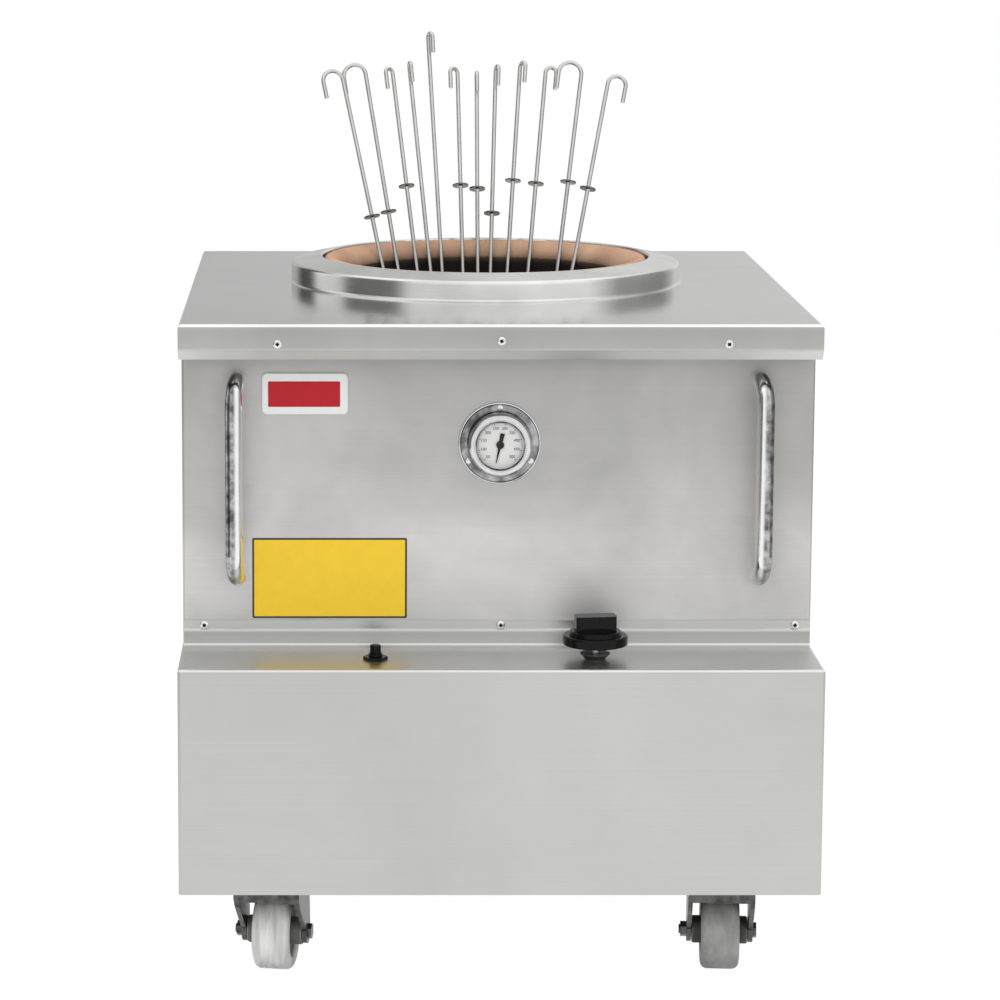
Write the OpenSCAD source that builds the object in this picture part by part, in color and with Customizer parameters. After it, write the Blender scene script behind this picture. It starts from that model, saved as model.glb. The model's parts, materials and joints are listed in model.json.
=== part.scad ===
// Gas-fired clay tandoor oven on casters: a clay pot in an insulated sheet cabinet, with skewers standing in it.
// +Z is up and the front faces -Y. The origin is on the floor, at the centre of the whole outline.

/* [Cabinet] */
// Width of the deck over its folded sides
deck_w = 813; // [790:1:840]
// Depth of the deck over its folded edges
deck_d = 873; // [860:1:900]
// Height of the deck's top above the floor
deck_z = 859; // [850:1:880]
// Height of the lip folded down round the deck
lip_h = 46; // [40:1:50]
// How far the deck overhangs the cabinet's front
overhang = 60; // [55:1:65]
// Thickness of the deck sheet
deck_t = 2; // [1.5:0.1:2.5]
// Thickness of the cabinet's wall sheets
wall_t = 1.5; // [1:0.1:2]

/* [Control box] */
// How far the control box stands out in front of the deck
box_out = 80; // [70:1:90]
// Height of the control box's ledge above the floor
ledge_z = 433; // [428:1:440]
// Height of the cabinet's underside above the floor
floor_gap = 142; // [142:1:150]
// Outer radius of the folds in the control box
box_bend = 5.5; // [4:0.5:7]
// Thickness of the control box sheet
box_t = 2; // [1.5:0.1:2.5]

/* [Clay pot and collar] */
// Distance of the pot's axis behind the origin
pot_y = 102; // [98:1:106]
// Inner radius of the pot at its belly
pot_belly_r = 243; // [238:1:246]
// Thickness of the pot's wall
pot_wall = 38; // [34:1:40]
// Radius to which the pot's wall is curved
pot_curve_r = 1202; // [1150:1:1300]
// Outer radius of the collar's band
collar_r = 269; // [266:1:274]
// Height of the collar's band above the deck
collar_h = 27; // [24:1:30]
// Height of the collar's inner edge above the deck
collar_rise = 35; // [33:1:37]

/* [Handles] */
// Diameter of the handle's tube
handle_d = 22; // [18:1:25]
// Height between the centres of a handle's legs
handle_h = 254.2; // [230:0.2:260]
// Distance of the handle's grip from the front panel
handle_out = 45.5; // [42:0.5:50]

/* [Knob and igniter] */
// Diameter of the knob's skirt
knob_d = 82.6; // [75:0.1:86]
// Length of the knob's grip
grip_l = 52; // [44:1:54]
// Travel of the knob when it is pushed in
knob_push = 5; // [4:0.5:6]
// Travel of the igniter's button
button_push = 7; // [5:0.5:8]

/* [Thermometer] */
// Outer diameter of the thermometer's flange
gauge_flange_d = 105; // [100:1:110]
// Outer diameter of the thermometer's bezel
gauge_bezel_d = 81.5; // [78:0.5:84]
// Diameter of the dial that shows inside the bezel
gauge_dial_d = 60; // [56:1:66]

/* [Casters] */
// Diameter of a caster's wheel
wheel_d = 102; // [98:1:102]
// Width of a caster's tread
wheel_w = 50; // [46:1:52]
// Distance of the wheel's axle from the swivel's axis
caster_trail = 40; // [38:1:42]

/* [Skewers] */
// Diameter of a skewer's rod
rod_d = 6; // [5:0.5:6]
// Length of the eleven equal skewers, tip to hook
rod_l = 914; // [900:1:930]
// Length of the one long skewer
long_rod_l = 952; // [940:1:960]
// Diameter of the stop disc on a skewer
stop_d = 23; // [20:1:26]

/* [Hidden] */
$fn = 64;
cut = 1; // how far a cutting solid runs past the face that it opens

// Places of the main faces
deck_back_y = (deck_d + box_out) / 2;
deck_front_y = deck_back_y - deck_d;
box_front_y = deck_front_y - box_out;
face_y = deck_front_y + overhang;
deck_bend = 6;
lip_z = deck_z - lip_h;
crease_z = deck_z - 33;
crease_in = 10;
under_z = deck_z - deck_t;
wall_z = under_z - deck_bend;
body_x = deck_w / 2 - deck_t;
inner_x = body_x - wall_t;
body_back_y = deck_back_y - deck_t;
back_y = body_back_y - 24;
panel_z = ledge_z - 6;
return_d = 20;
side_y = face_y + return_d;
panel_bend = 4.5;

// Control box
box_x = deck_w / 2;
box_back_y = face_y + 45;
upstand_x = box_x - 3.5;
upstand_z = ledge_z + 34.5;
flange_h = 12;
cove_y = face_y - 8;
flange_z = upstand_z - flange_h / 2;

// Tube frames and posts
tube = 30;
tube_wall = 2;
frame_front_y = face_y + panel_bend;
frame_z = floor_gap + tube;
rail = 25;
bearer_x = [252, 332];
stub_l = 98;
pan_t = 1.5;
back_screw_z = [230, 510, 790];

// Wall between the control box and the burner space
hand_hole = [180, 150];
hand_hole_z = 252;
hand_hole_r = 12;

// Clay pot
pot_z = 240;
pot_belly_z = 500;
pot_top_z = deck_z + 33;
pot_lip_z = deck_z + 11;
pot_lip_r = 185.3;
pot_rim_r = 223;
pot_rim_h = 24;
pot_rim_edge = 5;
pot_in_r = 120; // inside every part of the pot's wall
shelf_t = 4;
shelf_z = pot_z - shelf_t;
shelf_hole_r = 180;
shelf_leg_r = 195;
shelf_leg_w = 40;
shelf_flange = 14;
collar_in_r = 226;
collar_t = 2.5;
hole_r = 232;

// Flame deflector, on which the skewers stand
deflector_r = 160;
deflector_z = 282;
deflector_t = 4.9;
deflector_leg_r = 5;

// Burner
burner_r = 100;
burner_z = 182;
burner_h = 46;
burner_wall = 8;
venturi_z = 200;
venturi_y = -410;
venturi_r = 13;
pilot_y = pot_y - burner_r - 18;
pilot_x = 44;

// Gas pipe and valve
knob_x = 121.6;
knob_y = -411.5;
valve_z = 372;
pipe_r = 10.6;
pipe_x = 300;
pipe_z = 200;
inlet_bore_r = 12.1;
inlet_bore_l = 20;
inlet_r = 17;
inlet_l = 44;

// Knob
stem_r = 5;
fit = 0.05;
bezel_h = 8;
skirt_gap = 6.5;
skirt_z = ledge_z + bezel_h + knob_push + skirt_gap;
skirt_h = 12.3;
knob_ring_h = 5.7;
grip_h = 19;
grip_w = 25;
grip_turn = 7;

// Igniter
igniter_x = -157.2;
igniter_y = -413.5;
igniter_r = 9;
button_r = 7;
button_in = 16;
button_out = 19;

// Thermometer
gauge_x = 2;
gauge_z = deck_z - 160.5;
gauge_h = 26;
dial_z = gauge_h - 13;
gauge_screw_r = 45.9;
gauge_seat = 2.2;
gauge_stem_r = 3.2;
gauge_stem_l = 150;
gauge_screw_k = 0.7;

// Handles
handle_x = 331;
handle_low_z = 527;
handle_tilt = 7.5;
handle_bend = 33;
stud_r = 4;
stud_l = 14;
nut_h = 7;

// Screws
head_r = 5;
shank_r = 2.1;
lip_screws = [[-281, 834], [1, 838], [287, 834]];
ledge_screw_x = [-377, 5, 384];

// Casters: swivel place, and the turn of the fork from straight forward
caster_x = 292;
caster_front_y = -363;
caster_rear_y = 390;
caster_plate = [102, 114, 6];
caster_bolt_r = 4;
caster_bolt_at = [40, 42];
axle_z = wheel_d / 2;
plate_z = floor_gap - caster_plate.z;
race_h = 11;
crown_z = plate_z - race_h - 1;
crown_t = 6;
fork_in = 37;
fork_t = 6;
axle_r = 6;
kingpin_r = 8;

// Skewers: place of the tip, angle of the lip point round the pot, turn of the hook, hook's width,
// and distance of the stop disc from the tip (0 for none)
tip_z = deflector_z + deflector_t + 0.2;
hook_tail = 24;
stop_t = 2;
lean_r = 181;
lean_z = deck_z + 13;
skewers = [
    [-16, 30, -52, 200, 30, 691], [-23, 57, -42, 172, 32, 689], [-21, 41, -31, 225, 14, 734],
    [-14, 63, -24, 280, 12, 0], [-23, 77, -18, 300, 12, 0], [-14, 50, -8, 220, 14, 734],
    [-6, 37, -1, 270, 12, 735], [-6, 57, 5, 285, 14, 690], [-3, 70, 13, 300, 14, 734],
    [11, 55, 23, 10, 16, 734], [31, 51, 38, 180, 33, 734], [10, 20, 47, 0, 26, 738]
];

// Points of an arc round c, from angle a to angle b
function arc(c, r, a, b, steps = 8) =
    [for (i = [0 : steps]) c + r * [cos(a + (b - a) * i / steps), sin(a + (b - a) * i / steps)]];

// Lays a YZ outline along X
module along_x(from, to) {
    translate([from, 0, 0]) rotate([90, 0, 90]) linear_extrude(to - from) children();
}

// Lays an XZ outline along Y
module along_y(from, to) {
    translate([0, to, 0]) rotate([90, 0, 0]) linear_extrude(to - from) children();
}

// Turns what stands on Z so that it stands on the front panel, towards -Y
module on_face(x, y, z) {
    translate([x, y, z]) rotate([90, 0, 0]) children();
}

// Upright outline with round upper corners
module rounded_top(x0, x1, z0, z1, r) {
    translate([x0, z0]) square([x1 - x0, z1 - r - z0]);
    translate([x0 + r, z0]) square([x1 - x0 - 2 * r, z1 - z0]);
    for (x = [x0 + r, x1 - r]) {
        translate([x, z1 - r]) circle(r);
    }
}

// Centred rectangle with round corners
module rounded_rect(size, r) {
    square([size.x - 2 * r, size.y], center = true);
    square([size.x, size.y - 2 * r], center = true);
    for (x = [-1, 1], y = [-1, 1]) {
        translate([x * (size.x / 2 - r), y * (size.y / 2 - r)]) circle(r);
    }
}

// Hexagonal nut or bolt head standing on Z
module hex(across, h) {
    cylinder(d = across / cos(30), h = h, $fn = 6);
}

// Straight pipe between two points
module pipe(a, b, r) {
    d = b - a;
    translate(a) rotate([0, acos(d.z / norm(d)), atan2(d.y, d.x)]) cylinder(r = r, h = norm(d));
}

// Pipe or lead through a list of points, a little fuller at its knees
module route(points, r) {
    for (i = [1 : len(points) - 1]) {
        pipe(points[i - 1], points[i], r);
    }
    for (i = [1 : len(points) - 2]) {
        translate(points[i]) sphere(1.15 * r);
    }
}

// Block inside the deck's sheet when inset is its thickness, or the outside of the deck when inset is 0
module deck_block(inset) {
    intersection() {
        along_y(deck_front_y - cut, deck_back_y + cut)
            rounded_top(inset - deck_w / 2, deck_w / 2 - inset, lip_z - inset, deck_z - inset, deck_bend - inset);
        along_x(-deck_w / 2 - cut, deck_w / 2 + cut) difference() {
            rounded_top(deck_front_y + inset, deck_back_y - inset, lip_z - inset, deck_z - inset, deck_bend - inset);
            translate([inset, 0]) polygon([
                [deck_front_y - 2 * crease_in, crease_z], [deck_front_y, crease_z],
                [deck_front_y + crease_in, lip_z], [deck_front_y + crease_in, lip_z - 2 * crease_in],
                [deck_front_y - 2 * crease_in, lip_z - 2 * crease_in]
            ]);
        }
    }
}

// Holes for the three screws in the lip
module lip_screw_holes() {
    for (s = lip_screws) {
        on_face(s.x, deck_front_y + rail, s.y) cylinder(r = shank_r, h = rail + cut, $fn = 24);
    }
}

// Deck sheet, folded down on all four sides, with the mouth cut through it
module top_plate() {
    color("silver") difference() {
        deck_block(0);
        deck_block(deck_t);
        translate([0, pot_y, under_z - cut]) cylinder(r = hole_r, h = deck_t + 2 * cut, $fn = 180);
        lip_screw_holes();
    }
}

// Collar round the mouth: an upright band, a sloped top and a rolled inner edge
module mouth_collar() {
    slope = atan2(collar_rise - collar_h, collar_r - collar_in_r);
    bend = 5;
    roll = 3;
    shoulder = [collar_r - bend, deck_z + collar_h - bend * tan((90 - slope) / 2)];
    edge = [collar_in_r + roll, deck_z + collar_rise - roll];
    bead = 3;
    color("lightgray") translate([0, pot_y, 0]) rotate_extrude($fn = 180) polygon(concat(
        [[collar_r + bead, deck_z], [collar_r + bead / 3, deck_z + bead / 3], [collar_r, deck_z + bead]],
        arc(shoulder, bend, 0, 90 - slope),
        arc(edge, roll, 90 - slope, 180),
        [[collar_in_r, deck_z + 23], [collar_in_r + collar_t, deck_z + 23]],
        arc(edge, roll - collar_t, 180, 90 - slope, 3),
        arc(shoulder, bend - collar_t, 90 - slope, 0),
        [[collar_r - collar_t, deck_z]]
    ));
}

// Side wall with a return flange at the back; side is -1 for the left and 1 for the right
module side_panel(side) {
    x0 = side > 0 ? inner_x : -body_x;
    flange = 20;
    color("silver") {
        along_x(x0, x0 + wall_t) polygon([
            [face_y + box_t, floor_gap], [body_back_y, floor_gap], [body_back_y, wall_z],
            [side_y, wall_z], [side_y, panel_z], [face_y + box_t, panel_z]
        ]);
        translate([side > 0 ? inner_x - flange : -inner_x, body_back_y - wall_t, floor_gap])
            cube([flange, wall_t, wall_z - floor_gap]);
    }
}

module left_side_panel() {
    side_panel(-1);
}

module right_side_panel() {
    side_panel(1);
}

// Back wall: a pan set in between the side walls, with a clearance hole round the gas inlet
module back_panel() {
    depth = 15;
    color("silver") difference() {
        translate([-inner_x, back_y, floor_gap]) cube([2 * inner_x, depth, wall_z - floor_gap]);
        translate([wall_t - inner_x, back_y + wall_t, floor_gap + wall_t])
            cube([2 * (inner_x - wall_t), depth, wall_z - floor_gap - 2 * wall_t]);
        translate([pipe_x, back_y - cut, pipe_z]) rotate([-90, 0, 0]) cylinder(r = inlet_r + 1, h = 2 * depth);
        back_screw_places() cylinder(r = shank_r, h = 4 * tube_wall, center = true, $fn = 24);
    }
}

// Places of the screws that hold the back wall to the frame's posts, seen from behind
module back_screw_places() {
    for (side = [-1, 1], z = back_screw_z) {
        translate([side * (inner_x - tube / 2), back_y + wall_t, z]) rotate([-90, 0, 0]) children();
    }
}

// Front wall with its two sides turned back
module front_panel() {
    r = panel_bend;
    color("silver") difference() {
        translate([0, 0, panel_z]) linear_extrude(wall_z - panel_z) difference() {
            mirror([0, 1]) rounded_top(-body_x, body_x, -side_y, -face_y, r);
            translate([0, wall_t]) mirror([0, 1])
                rounded_top(-inner_x, inner_x, -side_y - 2 * cut, -face_y, r - wall_t);
        }
        on_face(gauge_x, face_y + 2 * wall_t, gauge_z) cylinder(r = gauge_stem_r + 1, h = 4 * wall_t);
        gauge_screw_places() cylinder(r = gauge_screw_k * shank_r, h = 4 * wall_t, center = true, $fn = 24);
        for (side = [-1, 1], z = [handle_low_z, handle_low_z + handle_h]) {
            on_face(side * handle_x, face_y + 2 * wall_t, z) cylinder(r = stud_r + 0.2, h = 4 * wall_t);
        }
        ledge_screw_holes();
    }
}

// Holes for the screws that hold the upstand to the front wall
module ledge_screw_holes() {
    for (x = ledge_screw_x) {
        on_face(x, face_y + 4 * box_t, flange_z) cylinder(r = shank_r, h = 8 * box_t, $fn = 24);
    }
}

// Outside of the control box when inset is 0, inside of its sheet when inset is the sheet's thickness
module box_block(inset) {
    r = box_bend - inset;
    intersection() {
        along_x(-box_x - cut, box_x + cut)
            rounded_top(box_front_y + inset, box_back_y + 2 * box_bend, floor_gap - cut, ledge_z - inset, r);
        along_y(box_front_y - cut, box_back_y + 2 * box_bend + cut)
            rounded_top(inset - box_x, box_x - inset, floor_gap - cut, ledge_z - inset, r);
        translate([0, 0, floor_gap - cut]) linear_extrude(ledge_z - floor_gap + 2 * cut)
            mirror([0, 1]) rounded_top(
                inset - box_x, box_x - inset, -box_back_y - 3 * box_bend, -box_front_y - inset, r);
    }
}

// Control box: front, ledge and two side cheeks that lap the cabinet's sides, with an upstand behind the ledge
module control_box() {
    hem = 20;
    color("gainsboro") difference() {
        union() {
            difference() {
                box_block(0);
                box_block(box_t);
                translate([-box_x - cut, box_front_y - cut, floor_gap - 2 * cut])
                    cube([2 * (box_x + cut), deck_d, 2 * cut]);
                translate([-box_x - cut, box_back_y, floor_gap - cut]) cube([2 * (box_x + cut), 60, ledge_z]);
                translate([-body_x, face_y, floor_gap - cut]) cube([2 * body_x, 60, ledge_z]);
                translate([-box_x - cut, face_y, panel_z]) cube([2 * (box_x + cut), 60, ledge_z]);
                translate([-body_x, cove_y, ledge_z - 1.5 * box_t]) cube([2 * body_x, 60, ledge_z]);
            }
            translate([box_t - box_x, box_front_y + box_t, floor_gap]) cube([2 * (box_x - box_t), hem, box_t]);
            along_x(-upstand_x, upstand_x) polygon([
                [cove_y, ledge_z - box_t], [cove_y, ledge_z + 3], [face_y - 3, upstand_z - flange_h],
                [face_y - box_t, upstand_z - flange_h + 1], [face_y - box_t, upstand_z], [face_y, upstand_z],
                [face_y, upstand_z - flange_h], [face_y - 1, upstand_z - flange_h - 1],
                [cove_y + box_t, ledge_z + 2.6], [cove_y + box_t, ledge_z - box_t]
            ]);
        }
        ledge_screw_holes();
        translate([knob_x, knob_y, ledge_z - box_t - cut]) cylinder(r = stem_r + 2, h = box_t + 2 * cut);
        translate([igniter_x, igniter_y, ledge_z - box_t - cut]) cylinder(r = igniter_r, h = box_t + 2 * cut);
    }
}

// Square tube along X, centred on x = 0
module tube_x(length, y, z, side) {
    translate([-length / 2, y, z]) difference() {
        cube([length, side, side]);
        translate([-cut, tube_wall, tube_wall]) cube([length + 2 * cut, side - 2 * tube_wall, side - 2 * tube_wall]);
    }
}

// Square tube along Y
module tube_y(x, y, z, length, side) {
    translate([x, y, z]) difference() {
        cube([side, length, side]);
        translate([tube_wall, -cut, tube_wall]) cube([side - 2 * tube_wall, length + 2 * cut, side - 2 * tube_wall]);
    }
}

// Welded base frame of square tube, with two bearers over each pair of casters, carried on under the control
// box, and four corner posts
module base_frame() {
    depth = back_y - frame_front_y;
    post_h = under_z - rail - frame_z;
    color("dimgray") difference() {
        union() {
            for (y = [frame_front_y, back_y - tube]) {
                tube_x(2 * inner_x, y, floor_gap, tube);
            }
            for (side = [-1, 1]) {
                for (x = concat(bearer_x, [inner_x - tube / 2])) {
                    tube_y(side * x - tube / 2, frame_front_y + tube, floor_gap, depth - 2 * tube, tube);
                }
                for (x = bearer_x) {
                    tube_y(side * x - tube / 2, frame_front_y - stub_l, floor_gap, stub_l, tube);
                }
                for (y = [frame_front_y, back_y - tube]) {
                    translate([side * (inner_x - tube / 2), y + tube / 2, frame_z]) square_tube(post_h);
                }
            }
        }
        for (front = [true, false], left = [true, false]) {
            at_caster(front, left) caster_bolt_places()
                translate([0, 0, floor_gap - cut]) cylinder(r = caster_bolt_r + fit, h = tube_wall + 2 * cut);
        }
        back_screw_places() cylinder(r = shank_r, h = 4 * tube_wall, center = true, $fn = 24);
    }
}

// Upright square tube, centred on the Z axis
module square_tube(length) {
    linear_extrude(length) difference() {
        square(tube, center = true);
        square(tube - 2 * tube_wall, center = true);
    }
}

// Upper frame under the deck, and the rail behind the lip that its screws bite into
module top_frame() {
    depth = back_y - frame_front_y;
    half = body_x - deck_bend + deck_t;
    z = under_z - rail;
    color("dimgray") difference() {
        union() {
            for (y = [frame_front_y, back_y - rail]) {
                tube_x(2 * half, y, z, rail);
            }
            for (side = [-1, 1]) {
                tube_y(side * (half - rail / 2) - rail / 2, frame_front_y + rail, z, depth - 2 * rail, rail);
            }
            along_x(-half, half) polygon([
                [deck_front_y + deck_t, under_z - deck_bend], [deck_front_y + deck_bend, under_z],
                [deck_front_y + rail + deck_t, under_z], [deck_front_y + rail + deck_t, under_z - 3],
                [deck_front_y + deck_bend, under_z - 3], [deck_front_y + deck_t + 3, under_z - deck_bend],
                [deck_front_y + deck_t + 3, z - 3], [deck_front_y + deck_t, z - 3]
            ]);
        }
        lip_screw_holes();
    }
}

// Floor sheet over the base frame, open under the burner for air
module base_pan() {
    color("darkgray") difference() {
        translate([-inner_x, frame_front_y, frame_z]) cube([2 * inner_x, back_y - frame_front_y, pan_t]);
        translate([0, pot_y, frame_z - cut]) cylinder(r = 70, h = 2 * cut + pan_t);
        for (side = [-1, 1], y = [frame_front_y, back_y - tube]) {
            translate([side * (inner_x - tube / 2) - tube / 2, y, frame_z - cut]) cube([tube, tube, 2 * cut + pan_t]);
        }
    }
}

// Wall between the control box and the burner space, with a hand hole for the burner
module fire_wall() {
    color("darkgray") difference() {
        translate([-inner_x, frame_front_y - box_t, frame_z]) cube([2 * inner_x, box_t, panel_z - frame_z]);
        along_y(face_y, face_y + 3 * box_t) translate([0, hand_hole_z]) rounded_rect(hand_hole, hand_hole_r);
        translate([pipe_x, face_y, pipe_z]) rotate([-90, 0, 0]) cylinder(r = pipe_r + 2, h = 4 * box_t);
    }
}

// Outline of the pot's wall, its belly a long arc and its lip sloped inwards
module pot_outline(grow) {
    difference() {
        intersection() {
            translate([pot_belly_r - pot_curve_r, pot_belly_z]) circle(pot_curve_r + pot_wall + grow, $fn = 720);
            translate([pot_in_r, pot_z]) square([2 * pot_in_r, pot_top_z - pot_z]);
        }
        if (grow == 0) {
            translate([pot_belly_r - pot_curve_r, pot_belly_z]) circle(pot_curve_r, $fn = 720);
        }
    }
}

// Clay pot, open at the mouth and at the burner end
module clay_pot() {
    rim_z = pot_top_z - pot_rim_h;
    color("tan") translate([0, pot_y, 0]) rotate_extrude($fn = 180) difference() {
        union() {
            pot_outline(0);
            polygon(concat(
                [[pot_lip_r + pot_rim_edge, rim_z], [pot_rim_r, rim_z]],
                arc([pot_rim_r - pot_rim_edge, pot_top_z - pot_rim_edge], pot_rim_edge, 0, 90, 5),
                [[pot_lip_r + pot_rim_edge, pot_top_z]]
            ));
        }
        polygon([
            [pot_in_r, pot_lip_z - 1], [pot_lip_r - 1.5, pot_lip_z - 1], [pot_lip_r - 0.3, pot_lip_z + 1.5],
            [pot_lip_r + 2, pot_lip_z + 4], [pot_rim_r - 3 * pot_rim_edge, pot_top_z - 3],
            [pot_rim_r - 2 * pot_rim_edge, pot_top_z], [pot_rim_r - 2 * pot_rim_edge, pot_top_z + cut],
            [pot_in_r, pot_top_z + cut]
        ]);
    }
}

// Insulation packed between the pot and the cabinet's walls
module insulation() {
    clear = 3;
    x = inner_x - tube - clear;
    y0 = frame_front_y + tube + clear;
    y1 = back_y - tube - clear;
    z1 = under_z - rail / 2;
    color("khaki") difference() {
        translate([-x, y0, pot_z]) cube([2 * x, y1 - y0, z1 - pot_z]);
        translate([0, pot_y, 0]) rotate_extrude($fn = 180) {
            pot_outline(1);
            translate([0, pot_z - cut]) square([pot_in_r + cut, z1]);
        }
        on_face(gauge_x, face_y + gauge_stem_l + 3, gauge_z) cylinder(r = gauge_stem_r + 1, h = gauge_stem_l);
    }
}

// Shelf that carries the pot and the insulation between the posts
module pot_shelf() {
    depth = back_y - frame_front_y - 2 * tube;
    floor_z = frame_z + pan_t;
    color("dimgray") {
        difference() {
            translate([-inner_x, frame_front_y + tube, shelf_z]) cube([2 * inner_x, depth, shelf_t]);
            translate([0, pot_y, shelf_z - cut]) cylinder(r = shelf_hole_r, h = shelf_t + 2 * cut, $fn = 120);
        }
        for (y = [frame_front_y + tube, frame_front_y + tube + depth - shelf_t]) {
            translate([-inner_x, y, shelf_z - shelf_flange]) cube([2 * inner_x, shelf_t, shelf_flange]);
        }
        for (a = [45 : 90 : 315]) {
            translate([0, pot_y, 0]) rotate(a) translate([shelf_leg_r, -shelf_leg_w / 2, floor_z])
                cube([shelf_t, shelf_leg_w, shelf_z - floor_z]);
        }
    }
}

// Heat spreader over the burner, on four legs, on which the skewers' tips stand
module flame_deflector() {
    leg_at = deflector_r - 12;
    tab = [50, 12, 3];
    color("saddlebrown") translate([0, pot_y, 0]) {
        translate([0, 0, deflector_z]) cylinder(r = deflector_r, h = deflector_t, $fn = 120);
        for (a = [45 : 90 : 315]) {
            rotate(a) {
                translate([leg_at, 0, pot_z]) cylinder(r = deflector_leg_r, h = deflector_z - pot_z);
                translate([leg_at - deflector_leg_r, -tab.y / 2, pot_z]) cube(tab);
            }
        }
    }
}

// Round hollow burner head with a ring of ports in its top, on three feet
module burner() {
    ports = 24;
    port_at = burner_r - 20;
    foot = 16;
    foot_at = 70;
    floor_z = frame_z + pan_t;
    color("darkslategray") translate([0, pot_y, 0]) {
        difference() {
            translate([0, 0, burner_z]) rotate_extrude($fn = 96) difference() {
                polygon(concat(
                    [[0, 0], [60, 0], [burner_r - 12, burner_wall]],
                    arc([burner_r - 8, burner_h / 2 + 1], 8, -60, 60, 6),
                    [[burner_r - 14, burner_h], [burner_r - 26, burner_h],
                    [60, burner_h - burner_wall], [0, burner_h - burner_wall - 2]]
                ));
                polygon([
                    [0, burner_wall], [56, burner_wall], [burner_r - 18, 2 * burner_wall],
                    [burner_r - 16, burner_h - 14], [burner_r - 22, burner_h - burner_wall],
                    [56, burner_h - 2 * burner_wall - 2], [0, burner_h - 2 * burner_wall - 2]
                ]);
            }
            for (i = [1 : ports]) {
                rotate(i * 360 / ports) translate([port_at, 0, burner_z + burner_h - 12]) cylinder(r = 1.5, h = 14);
            }
            on_face(0, 0, venturi_z) cylinder(r = venturi_r + fit, h = burner_r + cut);
        }
        for (a = [90 : 120 : 330]) {
            rotate(a) translate([foot_at, -foot / 2, floor_z]) cube([foot, foot, burner_z + 6 - floor_z]);
        }
    }
}

// Mixing tube from the control box to the burner, with a flared air mouth
module burner_tube() {
    depth = 40;
    wall = 2;
    wide_r = venturi_r - wall;
    throat_r = 9;
    flare_r = 14;
    length = pot_y - depth - venturi_y;
    wide_l = 150;
    throat_l = length - 90;
    flare = [throat_r + flare_r, length - flare_r];
    color("slategray") on_face(0, pot_y - depth, venturi_z) rotate_extrude() polygon(concat(
        [[wide_r, 0], [wide_r, wide_l], [throat_r, throat_l]],
        arc(flare, flare_r, 180, 100, 6),
        arc(flare, flare_r - wall, 100, 180, 6),
        [[throat_r + wall, throat_l], [wide_r + wall, wide_l], [wide_r + wall, 0]]
    ));
}

// Pilot burner and flame sensor on one bracket, with the pilot's gas tube
module pilot_burner() {
    z = frame_z + pan_t;
    y = pilot_y;
    tube_z = z + 10.5;
    port = [knob_x - 15, knob_y + 15];
    color("darkgoldenrod") {
        translate([pilot_x, y - 8, z]) cube([40, 3, 60]);
        translate([pilot_x, y - 8, z + 24]) cube([40, 10, 3]);
        translate([pilot_x + 8, y, z + 18]) cylinder(r = 4.5, h = 42);
        translate([pilot_x + 30, y, z + 6]) cylinder(r = 3, h = 56);
        route([[pilot_x + 8, y, z + 20], [pilot_x + 8, y - 12, tube_z], [80, face_y + 20, tube_z],
            [80, port.y, 240], [port.x, port.y, 290], [port.x, port.y, valve_z]], 2);
    }
}

// Gas valve under the knob, with its outlet to the burner tube's injector
module gas_valve() {
    bush_z = ledge_z - box_t - 4;
    block = [40, 40, 34];
    nut_h = 14;
    outlet_z = valve_z + block.z / 2;
    drop_y = knob_y - 22;
    color("goldenrod") difference() {
        union() {
            translate([knob_x, knob_y, valve_z]) rounded_block(block, 6);
            translate([knob_x, knob_y, valve_z + block.z]) cylinder(r = 13, h = bush_z - valve_z - block.z);
            translate([knob_x, knob_y, bush_z]) cylinder(r = stem_r + 3, h = 3.9);
            translate([knob_x, knob_y, valve_z - nut_h]) hex(30, nut_h);
            translate([knob_x - block.x / 2 - nut_h, knob_y, outlet_z]) rotate([0, 90, 0]) hex(20, nut_h + 0.2);
        }
        translate([knob_x, knob_y, valve_z + 20]) cylinder(r = stem_r + fit, h = ledge_z - valve_z);
    }
    color("peru") {
        route([[knob_x - block.x / 2 - nut_h, knob_y, outlet_z], [20, knob_y, outlet_z], [0, drop_y, valve_z - 20],
            [0, drop_y, venturi_z + 20], [0, knob_y - nut_h, venturi_z]], 5);
        on_face(0, knob_y - 2, venturi_z) cylinder(r = 7, h = nut_h);
    }
}

// Block with rounded upright edges, standing on z = 0
module rounded_block(size, r) {
    linear_extrude(size.z) rounded_rect([size.x, size.y], r);
}

// Gas pipe from the inlet along the right side, through three elbows, to the valve
module gas_pipe() {
    start_y = body_back_y - inlet_l;
    run_z = valve_z - 60;
    elbow_r = 15;
    elbow_l = 26;
    color("darkgray") {
        route([[pipe_x, start_y, pipe_z], [pipe_x, knob_y, pipe_z], [pipe_x, knob_y, run_z],
            [knob_x, knob_y, run_z], [knob_x, knob_y, valve_z - 14]], pipe_r);
        for (p = [[pipe_x, knob_y, pipe_z], [pipe_x, knob_y, run_z], [knob_x, knob_y, run_z]]) {
            translate(p) sphere(elbow_r);
        }
        on_face(pipe_x, knob_y + elbow_l, pipe_z) cylinder(r = elbow_r, h = elbow_l);
        for (z = [pipe_z, run_z - elbow_l]) {
            translate([pipe_x, knob_y, z]) cylinder(r = elbow_r, h = elbow_l);
        }
        for (x = [knob_x, pipe_x - elbow_l]) {
            translate([x, knob_y, run_z]) rotate([0, 90, 0]) cylinder(r = elbow_r, h = elbow_l);
        }
        translate([knob_x, knob_y, run_z]) cylinder(r = elbow_r, h = elbow_l);
    }
}

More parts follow.
